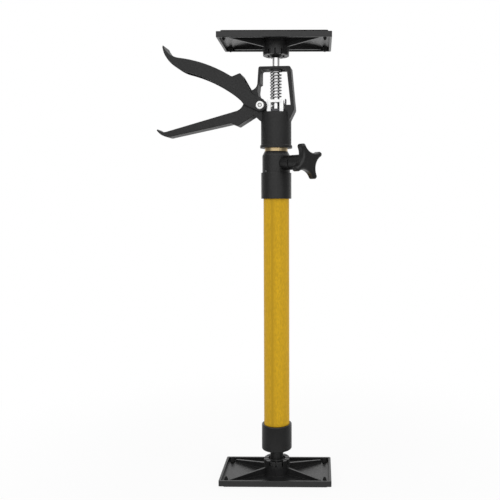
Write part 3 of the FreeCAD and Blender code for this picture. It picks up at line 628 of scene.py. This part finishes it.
def ribbed_sole(name, node, body, outward, detail):
    """The grip sheet with a shallow field in its outer face and rounded ribs along the field."""
    low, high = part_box(node)
    face = high.z if outward > 0 else low.z
    rise = detail.rib_rise
    margin = detail.rib_margin
    radius = RIB_ROUND * rise
    depth = radius + RIB_SINK * rise
    width = high.x - low.x - 2 * margin
    length = high.y - low.y - 2 * margin
    step = length / detail.rib_count
    middle = (low + high) / 2

    ribs = NodeShape("grip_ribs")
    count = ribs.value("Count", "Int", detail.rib_count)
    first = ribs.value("First rib", "Vector", (0.0, low.y + margin + step / 2, face - outward * depth))
    spacing = ribs.value("Spacing", "Vector", (0.0, step, 0.0))
    start = ribs.value("Rib start", "Vector", (low.x + margin - radius, 0.0, 0.0))
    end = ribs.value("Rib end", "Vector", (high.x - margin + radius, 0.0, 0.0))
    thickness = ribs.value("Rib radius", "Float", radius)
    field = ribs.value("Field", "Vector", (width, length, 2 * rise))
    place = ribs.value("Field centre", "Vector", (middle.x, middle.y, face))
    block = ribs.node("GeometryNodeMeshCube", None, {"Size": field})
    block = ribs.node("GeometryNodeTransform", None, {"Geometry": block, "Translation": place})
    sunk = ribs.merge("DIFFERENCE", ribs.entry.outputs["Geometry"], block)
    row = ribs.node("GeometryNodeMeshLine", {"mode": "OFFSET"},
                    {"Count": count, "Start Location": first, "Offset": spacing})
    spine = ribs.node("GeometryNodeCurvePrimitiveLine", {"mode": "POINTS"}, {"Start": start, "End": end})
    section = ribs.node("GeometryNodeCurvePrimitiveCircle", {"mode": "RADIUS"},
                        {"Resolution": RIB_SIDES, "Radius": thickness})
    bar = ribs.node("GeometryNodeCurveToMesh", None,
                    {"Curve": spine, "Profile Curve": section, "Fill Caps": True})
    rows = ribs.node("GeometryNodeInstanceOnPoints", None, {"Points": row, "Instance": bar})
    rows = ribs.node("GeometryNodeRealizeInstances", None, {"Geometry": rows})
    ribs.close(ribs.merge("UNION", sunk, rows), FINISHES["rubber"])
    piece = ribs.grow(name, merged_copy(node))
    stand_for(piece, node, body)


def threaded_stud(name, node, body, joint, detail):
    """The clamp screw with a helical thread round a thinner core."""
    hinge = joint_named(joint)
    axis = Vector(hinge["axis"]).normalized()
    centre = Vector(hinge["pos_m"])
    points = [vertex.co - centre for vertex in NODES[node].data.vertices]
    reach = [point.dot(axis) for point in points]
    crest = max(point.cross(axis).length for point in points)
    core = crest - detail.thread_depth

    def thin(point):
        """Moves a point of the screw's side in to the core."""
        along = (point - centre).dot(axis) * axis
        across = point - centre - along
        share = min(1.0, core / across.length) if across.length > 0 else 1.0
        return centre + along + share * across

    start = min(reach) + 2 * detail.thread_pitch + crest - core
    length = max(reach) - start - detail.thread_pitch
    turn = axis.to_track_quat("Z", "Y").to_euler()
    thread = NodeShape("screw_thread")
    turns = thread.value("Turns", "Float", length / detail.thread_pitch)
    radius = thread.value("Core radius", "Float", core)
    height = thread.value("Length", "Float", length)
    depth = thread.value("Depth", "Float", detail.thread_depth)
    place = thread.value("Start", "Vector", tuple(centre + start * axis))
    heading = thread.value("Heading", "Rotation", tuple(turn))
    helix = thread.node("GeometryNodeCurveSpiral", None, {
        "Resolution": THREAD_POINTS, "Rotations": turns,
        "Start Radius": radius, "End Radius": radius, "Height": height})
    section = thread.node("GeometryNodeCurvePrimitiveCircle", {"mode": "RADIUS"},
                          {"Resolution": THREAD_SIDES, "Radius": depth})
    ridge = thread.node("GeometryNodeCurveToMesh", None,
                        {"Curve": helix, "Profile Curve": section, "Fill Caps": True})
    laid = thread.node("GeometryNodeTransform", None,
                       {"Geometry": ridge, "Translation": place, "Rotation": heading})
    thread.close(thread.merge("UNION", thread.entry.outputs["Geometry"], laid), FINISHES["steel"])
    piece = thread.grow(name, merged_copy(node, thin))
    stand_for(piece, node, body)


def pressed_spring(name, node, body, travel):
    """A copy of the spring with its finish, which takes the CAD node's place on its body; the travel is not
    used.
    """
    low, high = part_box(node)
    piece = bpy.data.objects.new(name, merged_copy(node))
    bpy.context.scene.collection.objects.link(piece)
    piece.data.materials.append(FINISHES["spring"])
    stand_for(piece, node, body)
    1 - travel / (high.z - low.z)
    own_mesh(piece)


# One operator for each group of pieces.
class PROP_OT_finishes(bpy.types.Operator):
    """Makes the prop's materials"""
    bl_idname = "prop.finishes"
    bl_label = "Finishes"

    def execute(self, context):
        look = context.scene.prop_finish
        seam = context.scene.prop_detail.seam
        grey_zinc = (0.66, 0.67, 0.69)
        FINISHES["moulding"] = moulded_black(
            "satin_moulding", look.moulding, look.grain, gloss=0.27, dull=0.1)
        FINISHES["pads"] = moulded_black(
            "glossy_moulding", look.pads, 0.8 * look.grain, gloss=0.2, dull=0.1)
        FINISHES["casting"] = moulded_black(
            "satin_casting", look.casting, 1.3 * look.grain, gloss=0.4, dull=0.5)
        FINISHES["rubber"] = grip_rubber("grip_rubber", look.rubber)
        FINISHES["paint"] = powder_coat("golden_powder_coat", look.paint, seam)
        FINISHES["plate"] = drawn_metal(
            "yellow_plate", look.plate, gloss=0.12, tint=(0.48, 0.33, 0.15), spread=6 * MM)
        FINISHES["steel"] = drawn_metal(
            "zinc_steel", look.steel, gloss=0.2, tint=grey_zinc, spread=7 * MM)
        FINISHES["rod"] = drawn_metal(
            "ground_rod", (0.97, 0.97, 0.96), gloss=0.14, tint=(0.9, 0.9, 0.91), spread=7 * MM)
        # The spring wire gets painted shade on its inner side as well as in its hollows.
        FINISHES["spring"] = drawn_metal(
            "spring_wire", (0.95, 0.95, 0.95), gloss=0.1, tint=(0.8, 0.8, 0.81), spread=4 * MM, paint_inner_shade=True)
        # The rivet gets stronger painted shade in its dimple and groove.
        FINISHES["rivet"] = drawn_metal(
            "rivet_steel", look.steel, gloss=0.2, tint=grey_zinc, spread=7 * MM,
            reach=2 * MM, hollow_shade_bounds=(0.8, 0.99))
        FINISHES["pin"] = drawn_metal(
            "dull_zinc", (0.24, 0.24, 0.245), gloss=0.4, tint=(0.16, 0.16, 0.165), spread=3 * MM)
        FINISHES["dark_steel"] = drawn_metal(
            "black_oxide", (0.1, 0.1, 0.105), gloss=0.3, tint=(0.06, 0.06, 0.07), spread=5 * MM)
        FINISHES["brass"] = drawn_metal(
            "plain_brass", (0.72, 0.5, 0.2), gloss=0.25, tint=(0.6, 0.4, 0.16), spread=6 * MM)
        FINISHES["nylon"] = plain_nylon("dark_nylon", (0.05, 0.05, 0.052))
        return {"FINISHED"}


class PROP_OT_pads(bpy.types.Operator):
    """Finishes the foot and the top pad"""
    bl_idname = "prop.pads"
    bl_label = "Pads"

    def execute(self, context):
        detail = context.scene.prop_detail
        dress("nylon", ["foot_seat", "top_seat"])
        slotted_pad("foot_tray", "foot_pad", "foot", True, detail)
        slotted_pad("top_tray", "top_pad", "top", False, detail)
        ribbed_sole("foot_sole", "foot_rubber", "foot", -1, detail)
        ribbed_sole("top_sole", "top_rubber", "top", 1, detail)
        return {"FINISHED"}


class PROP_OT_column(bpy.types.Operator):
    """Finishes the tubes and the fittings on them"""
    bl_idname = "prop.column"
    bl_label = "Column"

    def execute(self, context):
        dress("moulding", ["base_collar", "clamp_sleeve"])
        dress("paint", ["outer_tube"])
        dress("plate", ["inner_tube"])
        dress("nylon", ["inner_guide", "clamp_shoe"])
        dress("brass", ["clamp_insert"])
        dress("pin", ["sleeve_pin"])
        return {"FINISHED"}


class PROP_OT_knob(bpy.types.Operator):
    """Finishes the clamp's knob and screw"""
    bl_idname = "prop.knob"
    bl_label = "Knob"

    def execute(self, context):
        dress("moulding", ["star_knob"])
        threaded_stud("knob_stud", "clamp_screw", "clamp_knob", "knob_turn", context.scene.prop_detail)
        return {"FINISHED"}


class PROP_OT_head(bpy.types.Operator):
    """Finishes the pump head and its lever"""
    bl_idname = "prop.head"
    bl_label = "Head"

    def execute(self, context):
        dress("casting", ["pump_head", "pump_lever"])
        dress("nylon", ["rod_bush"])
        dress("dark_steel", ["head_screw", "lock_plate", "rod_stop"])
        dress("rivet", ["lever_pin"])
        dress("steel", ["lift_cam", "lift_yoke"])
        dress("rod", ["lift_rod"])
        dress("moulding", ["rod_ball"])
        pressed_spring("yoke_spring", "return_spring", "head",
                       joint_named("yoke_lift")["range_m"][1])
        release = joint_named("lock_release")
        low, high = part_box("lock_spring")
        swing = math.sin(math.radians(-release["range_deg"][0]))
        pressed_spring("plate_spring", "lock_spring", "head",
                       (high.x - release["pos_m"][0]) * swing)
        return {"FINISHED"}


# The stage.
def background_rays(start):
    """Masks of the rays that show the background: the camera's own, and mirrored or transmitted ones."""
    path = start.node("ShaderNodeLightPath")
    mirrored = path.output("Is Glossy Ray") + path.output("Is Transmission Ray")
    return path.output("Is Camera Ray"), start.maths("MINIMUM", mirrored, 1.0)


def blend(start, share, first, second):
    """Mixes two shaders."""
    return start.node("ShaderNodeMixShader", None, {0: share, 1: first, 2: second})


def add_sky(scene, studio):
    """Even soft light, white to the camera, and a room with pale and dark parts to mirrored rays."""
    world = bpy.data.worlds.new("studio")
    world.use_nodes = True
    world.node_tree.nodes.clear()
    scene.world = world
    start = Wire(world.node_tree)
    soft, white, screen, dark = (
        start.node("ShaderNodeBackground", None, {"Color": WHITE, "Strength": strength})
        for strength in (studio.sky, 1.0, studio.front, studio.sides))
    heading = start.node("ShaderNodeTexCoord", output="Generated")
    depth = start.node("ShaderNodeSeparateXYZ", None, {0: heading}, output="Y")
    height = depth.output("Z")
    camera, mirrored = background_rays(start)
    room = blend(start, depth.between(*FRONT_SCREEN), screen, dark)
    room = blend(start, height.between(*CEILING), room, screen)
    room = blend(start, depth.between(*BACKDROP), room, white)
    sky = blend(start, camera, blend(start, mirrored, soft, room), white)
    start.node("ShaderNodeOutputWorld", None, {"Surface": sky})


def add_floor(context, studio):
    """A round pale floor that keeps the shadow and runs out into the white backdrop."""
    bpy.ops.mesh.primitive_circle_add(vertices=FLOOR_SIDES, radius=FLOOR_RADIUS, fill_type="NGON")
    floor = context.active_object
    floor.name = "studio_floor"
    material, start = new_material("pale_floor")
    place = start.node("ShaderNodeTexCoord", output="Object")
    reach = start.node("ShaderNodeVectorMath", {"operation": "LENGTH"}, {0: place}, output="Value")
    behind = start.node("ShaderNodeSeparateXYZ", None, {0: place}, output="Y")
    camera, mirrored = background_rays(start)
    plain = start.node("ShaderNodeBsdfDiffuse", None, {"Color": shade_of(studio.floor)})
    glow = start.node("ShaderNodeEmission", None, {"Color": WHITE, "Strength": 1.0})
    near = start.node("ShaderNodeEmission", None, {"Color": WHITE, "Strength": FLOOR_MIRRORED})
    whiteness = FLOOR_WHITE + (1.0 - FLOOR_WHITE) * reach.between(*FLOOR_FADE)
    seen = blend(start, camera * whiteness, plain, glow)
    by_foot = FOOT_MIRRORED * reach.between(*FLOOR_AT_FOOT)
    bright = start.maths("MAXIMUM", behind.between(*FLOOR_BEHIND), by_foot)
    mirror = blend(start, bright, near, glow)
    finish_material(start, blend(start, mirrored, seen, mirror))
    floor.data.materials.append(material)


def add_lamp(name, place, target, side, power):
    """A square lamp that looks at a point."""
    lamp = bpy.data.lights.new(name, "AREA")
    lamp.shape = "SQUARE"
    lamp.size = side
    lamp.energy = power
    item = bpy.data.objects.new(name, lamp)
    item.location = place
    item.rotation_euler = (Vector(target) - Vector(place)).to_track_quat("-Z", "Y").to_euler()
    item.visible_camera = False
    item.visible_glossy = False
    bpy.context.scene.collection.objects.link(item)


def add_camera(scene, studio):
    """The camera that took the photograph."""
    camera = bpy.data.cameras.new("photo_camera")
    camera.lens = studio.lens
    camera.sensor_width = SENSOR_WIDTH
    camera.sensor_fit = "HORIZONTAL"
    camera.shift_x = (IMAGE_SIDE / 2 - PHOTO_CENTRE[0]) / IMAGE_SIDE
    camera.shift_y = (PHOTO_CENTRE[1] - IMAGE_SIDE / 2) / IMAGE_SIDE
    camera.clip_start = 10 * MM
    eye = bpy.data.objects.new("photo_camera", camera)
    forward = Vector(CAMERA_FORWARD)
    up = Vector(CAMERA_RIGHT).cross(forward).normalized()
    right = forward.cross(up).normalized()
    turn = Matrix((right, up, -forward.normalized())).transposed()
    eye.matrix_world = Matrix.Translation(CAMERA_PLACE) @ turn.to_4x4()
    scene.collection.objects.link(eye)
    scene.camera = eye


class PROP_OT_stage(bpy.types.Operator):
    """Makes the floor, the light and the camera"""
    bl_idname = "prop.stage"
    bl_label = "Stage"

    def execute(self, context):
        scene = context.scene
        studio = scene.prop_studio
        scene.view_settings.view_transform = "Standard"
        add_sky(scene, studio)
        add_floor(context, studio)
        add_lamp("key_lamp", KEY_PLACE, LAMP_TARGET, KEY_SIDE, studio.key_power)
        add_lamp("fill_lamp", FILL_PLACE, LAMP_TARGET, FILL_SIDE, studio.fill_power)
        add_camera(scene, studio)
        return {"FINISHED"}


class PROP_PT_panel(bpy.types.Panel):
    """Lists the steps that make the prop"""
    bl_label = "Support prop"
    bl_idname = "PROP_PT_panel"
    bl_space_type = "VIEW_3D"
    bl_region_type = "UI"
    bl_category = "Support prop"

    def draw(self, context):
        scene = context.scene
        for group in (scene.prop_finish, scene.prop_detail, scene.prop_studio):
            for name in group.__annotations__:
                self.layout.prop(group, name)
        for step in STEPS:
            self.layout.operator(step.bl_idname)


STEPS = (PROP_OT_finishes, PROP_OT_pads, PROP_OT_column, PROP_OT_knob, PROP_OT_head, PROP_OT_stage)
CLASSES = (FinishSettings, DetailSettings, StudioSettings, PROP_PT_panel) + STEPS


def register():
    for item in CLASSES:
        bpy.utils.register_class(item)
    bpy.types.Scene.prop_finish = bpy.props.PointerProperty(type=FinishSettings)
    bpy.types.Scene.prop_detail = bpy.props.PointerProperty(type=DetailSettings)
    bpy.types.Scene.prop_studio = bpy.props.PointerProperty(type=StudioSettings)


def unregister():
    del bpy.types.Scene.prop_studio
    del bpy.types.Scene.prop_detail
    del bpy.types.Scene.prop_finish
    for item in reversed(CLASSES):
        bpy.utils.unregister_class(item)


def main():
    register()
    bpy.ops.prop.finishes()
    bpy.ops.prop.pads()
    bpy.ops.prop.column()
    bpy.ops.prop.knob()
    bpy.ops.prop.head()
    bpy.ops.prop.stage()


if __name__ == "__main__":
    main()
